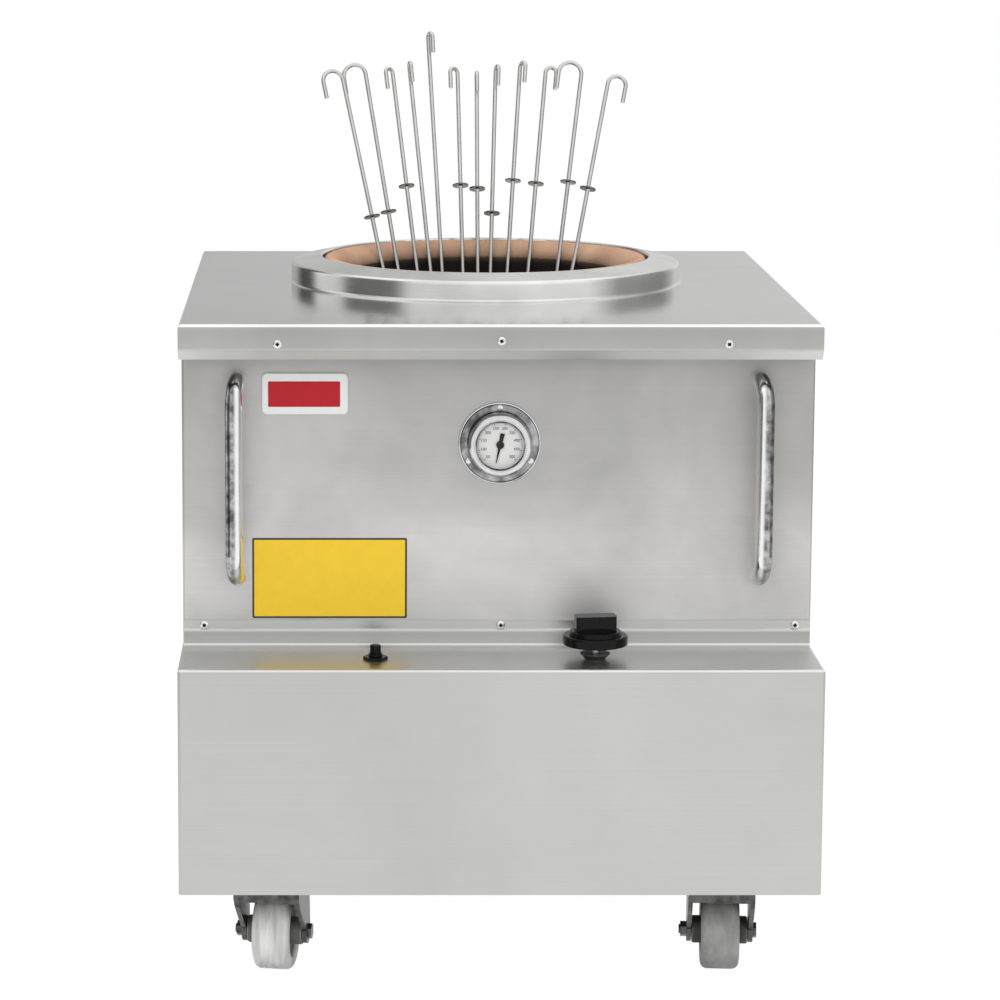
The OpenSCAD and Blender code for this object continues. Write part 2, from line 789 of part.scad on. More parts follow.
// Threaded inlet socket at the back
module gas_inlet() {
    y0 = body_back_y - inlet_l;
    color("gray") difference() {
        translate([pipe_x, y0, pipe_z]) rotate([-90, 0, 0]) cylinder(r = inlet_r, h = inlet_l);
        translate([pipe_x, body_back_y - inlet_bore_l, pipe_z]) rotate([-90, 0, 0])
            cylinder(r = inlet_bore_r, h = inlet_bore_l + cut);
        translate([pipe_x, y0 + cut, pipe_z]) rotate([-90, 0, 0]) cylinder(r = 8, h = inlet_l);
    }
}

// Igniter's housing: a nut on the ledge and a barrel below it
module igniter_body() {
    bore_z = ledge_z - button_in - button_push - 1;
    barrel_z = bore_z - 10;
    color("black") translate([igniter_x, igniter_y, 0]) difference() {
        union() {
            translate([0, 0, ledge_z]) hex(27, 4);
            translate([0, 0, barrel_z]) cylinder(r = igniter_r - 0.2, h = ledge_z + 8 - barrel_z);
            translate([0, 0, ledge_z - box_t - 5]) hex(24, 5);
        }
        translate([0, 0, bore_z]) cylinder(r = button_r + fit, h = 60);
    }
}

// Igniter's push button
module igniter_button() {
    edge = 2;
    h = button_in + button_out;
    color("black") translate([igniter_x, igniter_y, ledge_z - button_in]) rotate_extrude() polygon(concat(
        [[0, 0], [button_r, 0]], arc([button_r - edge, h - edge], edge, 0, 90, 5), [[0, h]]
    ));
}

// Spark lead from the igniter, through the hand hole beside the mixing tube, to the pilot's bracket
module igniter_lead() {
    start_z = ledge_z - button_in - button_push - 11;
    x = pilot_x + 16;
    z = 205;
    color("white") route([[igniter_x, igniter_y, start_z], [igniter_x, igniter_y, 330], [x, face_y - 30, 290],
        [x, face_y + 25, z], [x, pilot_y - 8, z]], 1.6);
}

// Collar on the ledge round the knob's stem, wider at its top
module knob_bezel() {
    color("dimgray") translate([knob_x, knob_y, ledge_z]) rotate_extrude() polygon([
        [stem_r + 1, 0], [13, 0], [14, 2], [19, bezel_h - 1], [19, bezel_h], [stem_r + 1, bezel_h]
    ]);
}

// Valve stem that slides down when the knob is pushed
module valve_stem() {
    base_z = valve_z + 28;
    color("gainsboro") translate([knob_x, knob_y, base_z]) {
        cylinder(r = stem_r, h = skirt_z + 2 - base_z);
        translate([0, 0, skirt_z + 2 - base_z]) cylinder(r = stem_r - 1, h = 14);
    }
}

// Knob: a round skirt, a raised ring and a straight grip
module gas_knob() {
    edge = 2.5;
    color("black") translate([knob_x, knob_y, skirt_z]) difference() {
        union() {
            rotate_extrude($fn = 96) polygon(concat(
                [[stem_r, 0], [knob_d / 2 - 1, 0], [knob_d / 2, 1]],
                arc([knob_d / 2 - edge, skirt_h - edge], edge, 0, 90, 5),
                [[knob_d / 2 - 8, skirt_h], [knob_d / 2 - 8.6, skirt_h + knob_ring_h - 1],
                [knob_d / 2 - 10, skirt_h + knob_ring_h], [stem_r, skirt_h + knob_ring_h]]
            ));
            translate([0, 0, skirt_h]) rotate(grip_turn) rounded_block([grip_l, grip_w, knob_ring_h + grip_h], 5);
        }
        translate([0, 0, -cut]) cylinder(r = stem_r - 1 + fit, h = 18.5);
        translate([0, 0, -cut]) cylinder(r = stem_r + fit, h = 3.2);
    }
}

// Places of the three screws round the thermometer's flange, on the front face
module gauge_screw_places() {
    for (a = [90, -30, -150]) {
        on_face(gauge_x + gauge_screw_r * cos(a), face_y, gauge_z + gauge_screw_r * sin(a)) children();
    }
}

// Thermometer's case: a dished flange on the panel and a domed bezel round the dial
module thermometer_case() {
    rf = gauge_flange_d / 2;
    rb = gauge_bezel_d / 2;
    rd = gauge_dial_d / 2;
    rim = 1;
    bezel_r = 6;
    seat = 4;
    color("lightgray") difference() {
        on_face(gauge_x, face_y, gauge_z) rotate_extrude($fn = 120) polygon(concat(
            [[gauge_stem_r + fit, 0], [rf - rim, 0]], arc([rf - rim, 2.4], rim, -60, 150, 6),
            [[rf - 3 * rim, gauge_seat], [rb + rim, gauge_seat], [rb, 4]],
            arc([rb - bezel_r, gauge_h - bezel_r], bezel_r, 0, 90, 6),
            [[rd + 2, gauge_h], [rd, gauge_h - 2.5], [rd, gauge_h - 4], [rd + seat, gauge_h - 4],
            [rd + seat, dial_z], [rd + seat / 2, dial_z], [rd + seat / 2, 3], [gauge_stem_r + fit, 3]]
        ));
        gauge_screw_places() cylinder(r = gauge_screw_k * shank_r, h = 20, center = true, $fn = 24);
    }
}

// Dial plate on its seat in the case, with the needle's pivot pin
module thermometer_dial() {
    color("white") on_face(gauge_x, face_y - dial_z, gauge_z) {
        cylinder(r = gauge_dial_d / 2 + 3.9, h = 1.5);
        cylinder(r = 1.2, h = 4.4);
    }
}

// Glass in front of the needle, behind the bezel's inner edge
module thermometer_glass() {
    color("lightcyan") on_face(gauge_x, face_y - gauge_h + 6, gauge_z)
        cylinder(r = gauge_dial_d / 2 + 3.9, h = 2);
}

// Pointer that turns on the dial's pin: a broad upper end and a long thin tip
module thermometer_needle() {
    tip = gauge_dial_d / 2 - 6;
    color("black") on_face(gauge_x, face_y - dial_z - 2.4, gauge_z) rotate(-12) difference() {
        union() {
            linear_extrude(0.8) polygon([[-3, 15], [3, 15], [2, 0], [0.4, -tip], [-0.4, -tip], [-2, 0]]);
            cylinder(r = 5, h = 2.8);
        }
        translate([0, 0, -cut]) cylinder(r = 1.2 + fit, h = cut + 2.1);
    }
}

// Sensing stem from the case back into the insulation
module thermometer_stem() {
    color("gainsboro") on_face(gauge_x, face_y + gauge_stem_l, gauge_z)
        cylinder(r = gauge_stem_r, h = gauge_stem_l + 3);
}

// Pan-head screw standing on its seat, with a shank below it
module screw(shank_l) {
    rotate_extrude($fn = 32) polygon(concat(
        [[0, -shank_l], [shank_r - fit, -shank_l], [shank_r - fit, 0], [head_r, 0], [head_r, 0.8]],
        arc([0, -6], 9.2, 55, 90, 5)
    ));
}

// Screws of the thermometer's flange
module thermometer_screws() {
    color("gainsboro") gauge_screw_places() translate([0, 0, gauge_seat]) scale(gauge_screw_k) screw(6);
}

// Screws of the lip, the upstand and the back wall
module panel_screws() {
    color("gainsboro") {
        for (s = lip_screws) {
            on_face(s.x, deck_front_y, s.y) screw(12);
        }
        for (x = ledge_screw_x) {
            on_face(x, face_y - box_t, flange_z) screw(5);
        }
        back_screw_places() screw(6);
    }
}

// Bent tube handle: two legs, two round bends and a straight grip, with a stud in each leg
module handle(side) {
    r = handle_d / 2;
    out = handle_out / cos(handle_tilt);
    straight = handle_h - 2 * handle_bend;
    color("lightgray") intersection() {
        translate([side * handle_x, face_y, handle_low_z]) rotate(side * handle_tilt) rotate([90, 0, 0]) {
            for (end = [0, 1]) {
                translate([0, end * handle_h, -r]) cylinder(r = r, h = out - handle_bend + r);
                translate([0, handle_bend + end * straight, out - handle_bend]) rotate([0, -90, 0])
                    rotate(end * 90 - 90) rotate_extrude(angle = 90) translate([handle_bend, 0]) circle(r);
            }
            translate([0, handle_bend, out]) rotate([-90, 0, 0]) cylinder(r = r, h = straight);
        }
        translate([-box_x, face_y - 2 * handle_out, 0]) cube([2 * box_x, 2 * handle_out, deck_z]);
    }
    color("gray") for (z = [handle_low_z, handle_low_z + handle_h]) {
        on_face(side * handle_x, face_y + stud_l, z) cylinder(r = stud_r, h = stud_l);
    }
}

module handle_left() {
    handle(-1);
}

module handle_right() {
    handle(1);
}

// Nuts on the handles' studs, inside the front wall
module handle_nuts() {
    color("gray") for (side = [-1, 1], z = [handle_low_z, handle_low_z + handle_h]) {
        on_face(side * handle_x, face_y + wall_t + nut_h, z) difference() {
            hex(13, nut_h);
            translate([0, 0, -cut]) cylinder(r = stud_r + fit, h = nut_h + 2 * cut);
        }
    }
}

// Swivel places of the four casters, each with the turn of its fork
module at_caster(front, left, turn = 0) {
    translate([(left ? -1 : 1) * caster_x, front ? caster_front_y : caster_rear_y, 0]) rotate(turn) children();
}

// Fixed halves of the casters: plate, upper race and kingpin
module caster_plates() {
    head_z = crown_z - crown_t - 1 - plate_z;
    color("silver") for (front = [true, false], left = [true, false]) {
        at_caster(front, left) {
            translate([0, 0, plate_z]) difference() {
                rounded_block(caster_plate, 6);
                caster_bolt_places() cylinder(r = caster_bolt_r + 0.3, h = 20, center = true);
            }
            translate([0, 0, plate_z]) rotate_extrude() polygon([
                [0, 0], [0, head_z - 5], [13, head_z - 5], [13, head_z], [kingpin_r, head_z], [kingpin_r, -race_h],
                [28, -race_h], [34, -race_h / 2], [34, 0]
            ]);
        }
    }
}

// Places of a caster plate's four bolts, under the two bearers
module caster_bolt_places() {
    for (x = [-1, 1], y = [-1, 1]) {
        translate([x * caster_bolt_at.x, y * caster_bolt_at.y, 0]) children();
    }
}

// Bolts that hold the caster plates to the bearers
module caster_bolts() {
    head_h = 5;
    bite = 6;
    color("silver") for (front = [true, false], left = [true, false]) {
        at_caster(front, left) caster_bolt_places() translate([0, 0, plate_z - head_h]) {
            hex(13, head_h);
            cylinder(r = caster_bolt_r, h = head_h + caster_plate.z + bite);
        }
    }
}

// Caster fork: a pressed inverted U with tapered legs and its front edge turned down, and the axle bolt
module fork(front, left, turn) {
    reach = -caster_trail;
    half = fork_in + fork_t;
    top = crown_z;
    lip_t = 4;
    color("silver") at_caster(front, left, turn) {
        difference() {
            intersection() {
                difference() {
                    along_y(-100, 100) rounded_top(-half, half, 0, top, 5);
                    along_y(-100, 34 - lip_t) rounded_top(-fork_in, fork_in, -cut, top - crown_t, 3);
                }
                along_x(-100, 100) {
                    polygon([
                        [reach - 15, axle_z - 3], [reach - 9, top - 20], [reach - 2, top - 6], [-34, top],
                        [34, top], [34, top - 12], [24, top - 26], [reach + 15.5, axle_z + 4]
                    ]);
                    translate([reach, axle_z]) circle(16);
                }
            }
            translate([0, 0, top - 2 * crown_t]) cylinder(r = kingpin_r + fit, h = 30);
        }
        translate([-half - 4, reach, axle_z]) rotate([0, 90, 0]) cylinder(r = axle_r, h = 2 * half + 14);
        translate([half, reach, axle_z]) rotate([0, 90, 0]) hex(18, 8);
        translate([-half - 5, reach, axle_z]) rotate([0, 90, 0]) hex(18, 5);
    }
}

// Caster wheel: crowned tread, recessed sides and a wide hub round the axle
module wheel(front, left, turn) {
    r = wheel_d / 2;
    w = wheel_w / 2;
    edge = 9;
    hub = fork_in - 1;
    side = concat(
        [[axle_r + fit, hub], [17, hub], [18, hub - 2], [18, w - 5], [24, w - 7], [33, w - 7], [36, w - 1.5]],
        arc([r - edge, w - edge], edge, 90, 0, 6));
    color("lightgray") at_caster(front, left, turn) translate([0, -caster_trail, r]) rotate([0, 90, 0])
        rotate_extrude($fn = 96) polygon(concat(side, [for (i = [len(side) - 1 : -1 : 0]) [side[i].x, -side[i].y]]));
}

module fork_front_left() {
    fork(true, true, 171);
}

module fork_front_right() {
    fork(true, false, 176);
}

module fork_rear_left() {
    fork(false, true, 24);
}

module fork_rear_right() {
    fork(false, false, -17);
}

module wheel_front_left() {
    wheel(true, true, 171);
}

module wheel_front_right() {
    wheel(true, false, 176);
}

module wheel_rear_left() {
    wheel(false, true, 24);
}

module wheel_rear_right() {
    wheel(false, false, -17);
}

// Skewer number n, leaning on the pot's lip: a pointed rod with a hooked end, and a stop disc pushed on down to
// a swelling of the rod
module skewer(n, length = rod_l) {
    s = skewers[n - 1];
    tip = [s[0], s[1], tip_z];
    rest = [lean_r * sin(s[2]), pot_y + lean_r * cos(s[2]), lean_z];
    d = rest - tip;
    r = rod_d / 2;
    point_l = 12;
    swell = 3;
    hook_r = s[4] / 2;
    rod_top = length - hook_r - r;
    color("silver") translate(tip) rotate([0, acos(d.z / norm(d)), atan2(d.y, d.x)])
        rotate(s[3] - atan2(d.y, d.x)) {
            cylinder(r1 = 0.6, r2 = r, h = point_l, $fn = 32);
            translate([0, 0, point_l]) cylinder(r = r, h = rod_top - point_l, $fn = 32);
            translate([hook_r, 0, rod_top]) rotate([90, 0, 0]) rotate_extrude(angle = 180, $fn = 48)
                translate([hook_r, 0]) circle(r, $fn = 32);
            translate([2 * hook_r, 0, rod_top - hook_tail]) cylinder(r = r, h = hook_tail, $fn = 32);
            if (s[5] > 0) {
                translate([0, 0, s[5] - swell - fit]) cylinder(r1 = r, r2 = r + 1, h = swell, $fn = 32);
                translate([0, 0, s[5]]) linear_extrude(stop_t) difference() {
                    circle(d = stop_d, $fn = 48);
                    circle(r + fit, $fn = 32);
                }
            }
        }
}

module skewer_01() {
    skewer(1);
}

module skewer_02() {
    skewer(2);
}

module skewer_03() {
    skewer(3);
}

module skewer_04() {
    skewer(4);
}

module skewer_05() {
    skewer(5, long_rod_l);
}

module skewer_06() {
    skewer(6);
}

module skewer_07() {
    skewer(7);
}

module skewer_08() {
    skewer(8);
}

module skewer_09() {
    skewer(9);
}

module skewer_10() {
    skewer(10);
}

module skewer_11() {
    skewer(11);
}

module skewer_12() {
    skewer(12);
}

top_plate();
mouth_collar();
left_side_panel();
right_side_panel();
back_panel();
front_panel();
control_box();
base_frame();
top_frame();
base_pan();
fire_wall();
clay_pot();
insulation();
pot_shelf();
flame_deflector();
burner();
burner_tube();
pilot_burner();
gas_valve();
gas_pipe();
gas_inlet();
igniter_body();
igniter_button();
igniter_lead();
knob_bezel();
valve_stem();
gas_knob();
thermometer_case();
thermometer_dial();
thermometer_glass();
thermometer_needle();
thermometer_stem();
thermometer_screws();
handle_left();
handle_right();
handle_nuts();
panel_screws();
caster_plates();
caster_bolts();
fork_front_left();
fork_front_right();
fork_rear_left();
fork_rear_right();
wheel_front_left();
wheel_front_right();
wheel_rear_left();
wheel_rear_right();
skewer_01();
skewer_02();
skewer_03();
skewer_04();
skewer_05();
skewer_06();
skewer_07();
skewer_08();
skewer_09();
skewer_10();
skewer_11();
skewer_12();
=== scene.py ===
import json
import math

import bmesh
import bpy
from mathutils import Matrix, Vector


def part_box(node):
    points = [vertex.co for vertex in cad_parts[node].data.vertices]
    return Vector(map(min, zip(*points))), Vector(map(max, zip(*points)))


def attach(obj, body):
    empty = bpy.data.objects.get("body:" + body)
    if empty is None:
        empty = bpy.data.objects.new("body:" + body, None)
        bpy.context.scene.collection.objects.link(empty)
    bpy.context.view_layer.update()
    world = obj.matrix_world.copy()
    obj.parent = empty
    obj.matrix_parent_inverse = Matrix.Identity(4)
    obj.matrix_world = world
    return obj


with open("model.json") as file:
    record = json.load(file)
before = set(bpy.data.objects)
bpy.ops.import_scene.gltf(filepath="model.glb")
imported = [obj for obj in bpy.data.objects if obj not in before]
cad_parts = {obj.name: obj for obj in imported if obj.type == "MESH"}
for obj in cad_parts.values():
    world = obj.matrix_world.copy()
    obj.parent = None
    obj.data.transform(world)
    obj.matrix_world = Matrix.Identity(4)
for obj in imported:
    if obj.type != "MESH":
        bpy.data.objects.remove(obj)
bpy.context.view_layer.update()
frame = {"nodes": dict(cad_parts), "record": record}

# Studio: a camera a little above the deck and left of the oven, a white room that metal sees with darker
# sides, a large soft lamp overhead and two in front, and a pale floor that keeps the casters' shadows.
scene = bpy.context.scene
scene.view_settings.view_transform = "Standard"


def look_camera():
    tilt_down = 8.843
    camera = bpy.data.objects.new("camera", bpy.data.cameras.new("camera"))
    camera.data.lens = 129.46
    camera.data.sensor_width = 36
    camera.data.shift_x = 0.16377
    camera.data.shift_y = -0.07596
    camera.location = (-0.207, -4.878, 1.4296)
    camera.rotation_euler = (math.radians(90 - tilt_down), 0, 0)
    scene.collection.objects.link(camera)
    scene.camera = camera


def soft_lamp(name, size, place, target, watts):
    lamp = bpy.data.lights.new(name, "AREA")
    lamp.shape = "RECTANGLE"
    lamp.size, lamp.size_y = size
    lamp.energy = watts
    holder = bpy.data.objects.new(name, lamp)
    holder.location = place
    holder.visible_glossy = False
    holder.rotation_euler = (Vector(target) - Vector(place)).to_track_quat("-Z", "Y").to_euler()
    scene.collection.objects.link(holder)


def wire(tree, source, target):
    tree.links.new(source, target)


def feed(tree, value, socket):
    if isinstance(value, bpy.types.NodeSocket):
        wire(tree, value, socket)
    elif value is not None:
        socket.default_value = value


def add_node(tree, kind, **values):
    made = tree.nodes.new(kind)
    for key, value in values.items():
        setattr(made, key, value)
    return made


def math_node(tree, operation, first, second=None, clamp=False):
    made = add_node(tree, "ShaderNodeMath", operation=operation, use_clamp=clamp)
    for socket, value in zip(made.inputs, (first, second)):
        feed(tree, value, socket)
    return made.outputs[0]


def mix_node(tree, factor, first, second, kind="FLOAT"):
    made = add_node(tree, "ShaderNodeMix", data_type=kind)
    for name, value in (("Factor", factor), ("A", first), ("B", second)):
        feed(tree, value, made.inputs[name])
    return made.outputs["Result"]


def range_node(tree, value, low=0, high=1, to_low=0, to_high=1, smooth=False):
    made = add_node(tree, "ShaderNodeMapRange", interpolation_type="SMOOTHSTEP" if smooth else "LINEAR")
    limits = (("From Min", low), ("From Max", high), ("To Min", to_low), ("To Max", to_high))
    for name, given in (("Value", value), *limits):
        feed(tree, given, made.inputs[name])
    return made.outputs["Result"]


def level_ramp(tree, share, stops, low, high):
    ramp = add_node(tree, "ShaderNodeValToRGB")
    for index, (at, level) in enumerate(stops):
        place = (at - low) / (high - low)
        stop = ramp.color_ramp.elements[index] if index < 2 else ramp.color_ramp.elements.new(place)
        stop.position = place
        stop.color = (level, level, level, 1)
    wire(tree, share, ramp.inputs["Fac"])
    return ramp.outputs["Color"]


# What metal sees round the room, by the angle from straight in front, negative to the left
ROOM_LEVELS = ((-180, 0.59), (-174, 0.51), (-152, 0.46), (-143, 0.06), (-126, 0.06), (-120, 0.85),
               (-97, 0.85), (-90, 0.16), (-56, 0.18), (-46, 0.98), (0, 1.0), (60, 1.0), (82, 0.40),
               (128, 0.28), (150, 0.80), (170, 0.72), (180, 0.59))


def white_room():
    ceiling_level = 1.15
    matt_level = 0.74
    room = bpy.data.worlds.new("white_room")
    room.use_nodes = True
    tree = room.node_tree
    tree.nodes.clear()
    rays = add_node(tree, "ShaderNodeLightPath")
    way = add_node(tree, "ShaderNodeSeparateXYZ")
    wire(tree, add_node(tree, "ShaderNodeTexCoord").outputs["Generated"], way.inputs[0])
    forward = math_node(tree, "MULTIPLY", way.outputs["Y"], -1)
    turn = math_node(tree, "ARCTAN2", way.outputs["X"], forward)
    share = math_node(tree, "ADD", math_node(tree, "DIVIDE", turn, 2 * math.pi), 0.5)
    sides = level_ramp(tree, share, ROOM_LEVELS, -180, 180)
    upward = range_node(tree, math_node(tree, "ABSOLUTE", way.outputs["Z"]), 0.42, 0.8, smooth=True)
    mirrored = mix_node(tree, upward, sides, ceiling_level)
    level = mix_node(tree, rays.outputs["Is Glossy Ray"], matt_level, mirrored)
    seen = math_node(tree, "MAXIMUM", rays.outputs["Is Camera Ray"], rays.outputs["Is Transmission Ray"])
    light = add_node(tree, "ShaderNodeBackground")
    light.inputs["Color"].default_value = (1, 1, 1, 1)
    wire(tree, math_node(tree, "MAXIMUM", level, seen), light.inputs["Strength"])
    wire(tree, light.outputs[0], add_node(tree, "ShaderNodeOutputWorld").inputs["Surface"])
    scene.world = room


def pale_floor():
    half_size = (2.6, 6, 1, 1)
    glow_share = 0.9
    sheet = bmesh.new()
    bmesh.ops.create_grid(sheet, x_segments=1, y_segments=1, size=1, matrix=Matrix.Diagonal(half_size))
    mesh = bpy.data.meshes.new("floor")
    sheet.to_mesh(mesh)
    sheet.free()
    floor = bpy.data.objects.new("floor", mesh)
    scene.collection.objects.link(floor)
    paint = bpy.data.materials.new("pale_floor")
    paint.use_nodes = True
    tree = paint.node_tree
    tree.nodes.clear()
    rays = add_node(tree, "ShaderNodeLightPath")
    matt = add_node(tree, "ShaderNodeBsdfDiffuse")
    matt.inputs["Color"].default_value = (0.86, 0.86, 0.86, 1)
    glow = add_node(tree, "ShaderNodeEmission")
    glow.inputs["Strength"].default_value = 1.08
    both = add_node(tree, "ShaderNodeMixShader")
    seen = math_node(tree, "MAXIMUM", rays.outputs["Is Camera Ray"], rays.outputs["Is Glossy Ray"])
    wire(tree, math_node(tree, "MULTIPLY", seen, glow_share), both.inputs[0])
    wire(tree, matt.outputs[0], both.inputs[1])
    wire(tree, glow.outputs[0], both.inputs[2])
    wire(tree, both.outputs[0], add_node(tree, "ShaderNodeOutputMaterial").inputs["Surface"])
    floor.data.materials.append(paint)


look_camera()
white_room()
pale_floor()
soft_lamp("overhead", (2.6, 2.0), (0.1, -0.3, 2.9), (0, 0, 0.8), 22)
soft_lamp("front_left", (0.9, 1.8), (-0.9, -3.3, 1.9), (0, 0, 0.6), 16)
soft_lamp("front_right", (0.7, 1.6), (1.1, -3.2, 1.4), (0, 0, 0.6), 9)


# Stainless sheet of the cabinet: brushed plate with a faint grain, cloudy wiping marks and small smears.
# The front is the most clouded and satin, and the deck is smoother, so it mirrors the collar softly.
# Levels by height paint light into the colour: painted reflection grades the front, and painted highlights
# and painted shade mark the folds of the box and the deck.
def object_place(tree):
    return add_node(tree, "ShaderNodeTexCoord").outputs["Object"]


def split(tree, vector):
    made = add_node(tree, "ShaderNodeSeparateXYZ")
    wire(tree, vector, made.inputs[0])
    return made.outputs


def noise_node(tree, place, scale, detail=2, **more):
    made = add_node(tree, "ShaderNodeTexNoise")
    for name, value in {"Vector": place, "Scale": scale, "Detail": detail, **more}.items():
        feed(tree, value, made.inputs[name])
    return made.outputs["Fac"]


def vector_node(tree, operation, first, second=None):
    made = add_node(tree, "ShaderNodeVectorMath", operation=operation)
    for socket, value in zip(made.inputs, (first, second)):
        feed(tree, value, socket)
    return made.outputs


def scaled(tree, colour, factor):
    made = add_node(tree, "ShaderNodeVectorMath", operation="SCALE")
    feed(tree, colour, made.inputs[0])
    feed(tree, factor, made.inputs["Scale"])
    return made.outputs[0]


def swing(tree, pattern, reach):
    return math_node(tree, "MULTIPLY", math_node(tree, "SUBTRACT", pattern, 0.5), reach)


def add_bump(tree, skin, height, strength, distance):
    bump = add_node(tree, "ShaderNodeBump")
    bump.inputs["Strength"].default_value = strength
    bump.inputs["Distance"].default_value = distance
    wire(tree, height, bump.inputs["Height"])
    wire(tree, bump.outputs[0], skin.inputs["Normal"])


def mill_finish_group():
    grain_light = 0.10
    grain_rough = 0.8
    smear_height = 0.4
    group = bpy.data.node_groups.new("mill_finish", "ShaderNodeTree")
    floats = ("Clouds", "Cloud Scale", "Roughness", "Smears", "Blotches")
    for name, kind in (("Tint", "NodeSocketColor"), ("Grain Scale", "NodeSocketVector"),
                       *((name, "NodeSocketFloat") for name in floats)):
        group.interface.new_socket(name, in_out="INPUT", socket_type=kind)
    for name, kind in (("Color", "NodeSocketColor"), ("Roughness", "NodeSocketFloat"),
                       ("Height", "NodeSocketFloat")):
        group.interface.new_socket(name, in_out="OUTPUT", socket_type=kind)
    given = add_node(group, "NodeGroupInput").outputs
    made = add_node(group, "NodeGroupOutput").inputs
    place = object_place(group)
    stretched = vector_node(group, "MULTIPLY", place, given["Grain Scale"])[0]
    grain = noise_node(group, stretched, 1, 3)
    cloud = noise_node(group, place, given["Cloud Scale"], 4, Roughness=0.55, Distortion=0.6)
    smear = noise_node(group, place, 14, 5, Distortion=0.8)
    off_grain = swing(group, grain, grain_light)
    light = math_node(group, "ADD", math_node(group, "ADD", off_grain, swing(group, cloud, given["Clouds"])),
                      math_node(group, "ADD", swing(group, smear, given["Blotches"]), 1))
    wire(group, scaled(group, given["Tint"], light), made["Color"])
    off_rough = math_node(group, "ADD", swing(group, smear, given["Smears"]),
                          math_node(group, "MULTIPLY", off_grain, grain_rough))
    wire(group, math_node(group, "ADD", given["Roughness"], off_rough, clamp=True), made["Roughness"])
    wire(group, math_node(group, "ADD", grain, math_node(group, "MULTIPLY", smear, smear_height)),
         made["Height"])
    return group


MILL = mill_finish_group()
ALONG_X = (2.0, 2.0, 420.0)
ALONG_Y = (420.0, 2.0, 420.0)
NO_GRAIN = (3.0, 3.0, 3.0)


def new_material(name):
    made = bpy.data.materials.new(name)
    made.use_nodes = True
    return made, made.node_tree, made.node_tree.nodes["Principled BSDF"]


def opaque(colour):
    return (*colour, 1)


def shade_by_height(tree, source, stops):
    bottom, top = stops[0][0], stops[-1][0]
    share = range_node(tree, split(tree, object_place(tree))["Z"], bottom, top)
    return vector_node(tree, "MULTIPLY", source, level_ramp(tree, share, stops, bottom, top))[0]


def sheet_steel(name, tint, rough, grain=ALONG_X, clouds=0.4, cloud_scale=2.2, smears=0.10, blotches=0.15,
                metallic=1, stops=None, gloss=None):
    made, tree, skin = new_material(name)
    finish = add_node(tree, "ShaderNodeGroup", node_tree=MILL)
    for socket, value in (("Tint", opaque(tint)), ("Grain Scale", grain), ("Clouds", clouds),
                          ("Cloud Scale", cloud_scale), ("Roughness", rough), ("Smears", smears),
                          ("Blotches", blotches)):
        finish.inputs[socket].default_value = value
    skin.inputs["Metallic"].default_value = metallic
    colour = finish.outputs["Color"]
    if stops:
        colour = shade_by_height(tree, colour, stops)
    wire(tree, colour, skin.inputs["Base Color"])
    dull = finish.outputs["Roughness"]
    if gloss:
        dull = shade_by_height(tree, dull, gloss)
    wire(tree, dull, skin.inputs["Roughness"])
    add_bump(tree, skin, finish.outputs["Height"], 0.06, 0.0004)
    return made


def paint_nodes(material, *names):
    for name in names:
        slots = frame["nodes"][name].data.materials
        slots.clear()
        slots.append(material)


# Painted reflection: the front is lighter low down and darker towards the top.
FRONT_PAINTED_REFLECTION = ((0.44, 1.22), (0.56, 1.19), (0.68, 0.92), (0.79, 0.82), (0.83, 0.80))
# Painted highlights on the ledge's bends and the upstand, and painted shade in the cove between them.
BOX_PAINTED_LIGHT = ((0.42, 1.0), (0.4295, 1.0), (0.4315, 1.5), (0.434, 1.0), (0.4375, 1.5), (0.439, 0.78),
              (0.452, 0.72), (0.4555, 1.25), (0.458, 1.05), (0.47, 1.05))
# Painted light on the deck's front lip: lighter on its lower strip, painted shade on its upper face, and a
# painted highlight along the top fold.
DECK_PAINTED_LIGHT = ((0.80, 1.12), (0.824, 1.12), (0.8285, 0.74), (0.850, 0.68), (0.8550, 0.74), (0.8562, 1.5),
               (0.8582, 1.5), (0.8587, 1.0), (0.86, 1.0))
DECK_GLOSS = ((0.80, 1.0), (0.852, 1.0), (0.8585, 0.45), (0.86, 0.45))
paint_nodes(sheet_steel("front_sheet", (0.54, 0.535, 0.525), 0.46, clouds=1.1, cloud_scale=2.6, blotches=0.2,
                        metallic=0.7, stops=FRONT_PAINTED_REFLECTION), "front_panel")
paint_nodes(sheet_steel("side_sheet", (0.60, 0.60, 0.58), 0.36, grain=ALONG_Y), "left_side_panel",
            "right_side_panel")
paint_nodes(sheet_steel("back_sheet", (0.58, 0.58, 0.56), 0.38), "back_panel")
paint_nodes(sheet_steel("box_sheet", (0.555, 0.555, 0.54), 0.34, clouds=0.3, blotches=0.08,
                        stops=BOX_PAINTED_LIGHT), "control_box")
paint_nodes(sheet_steel("deck_sheet", (0.62, 0.62, 0.61), 0.31, grain=NO_GRAIN, clouds=0.35, cloud_scale=4,
                        smears=0.12, blotches=0.14, stops=DECK_PAINTED_LIGHT, gloss=DECK_GLOSS), "top_plate")


# Collar round the mouth: thicker stainless, rolled and polished, welded to the deck all round its foot.
# Its grain runs round the mouth.
def uneven_gloss(tree, skin, pattern, rough, spread):
    wire(tree, math_node(tree, "ADD", math_node(tree, "MULTIPLY", pattern, spread), rough - spread / 2),
         skin.inputs["Roughness"])


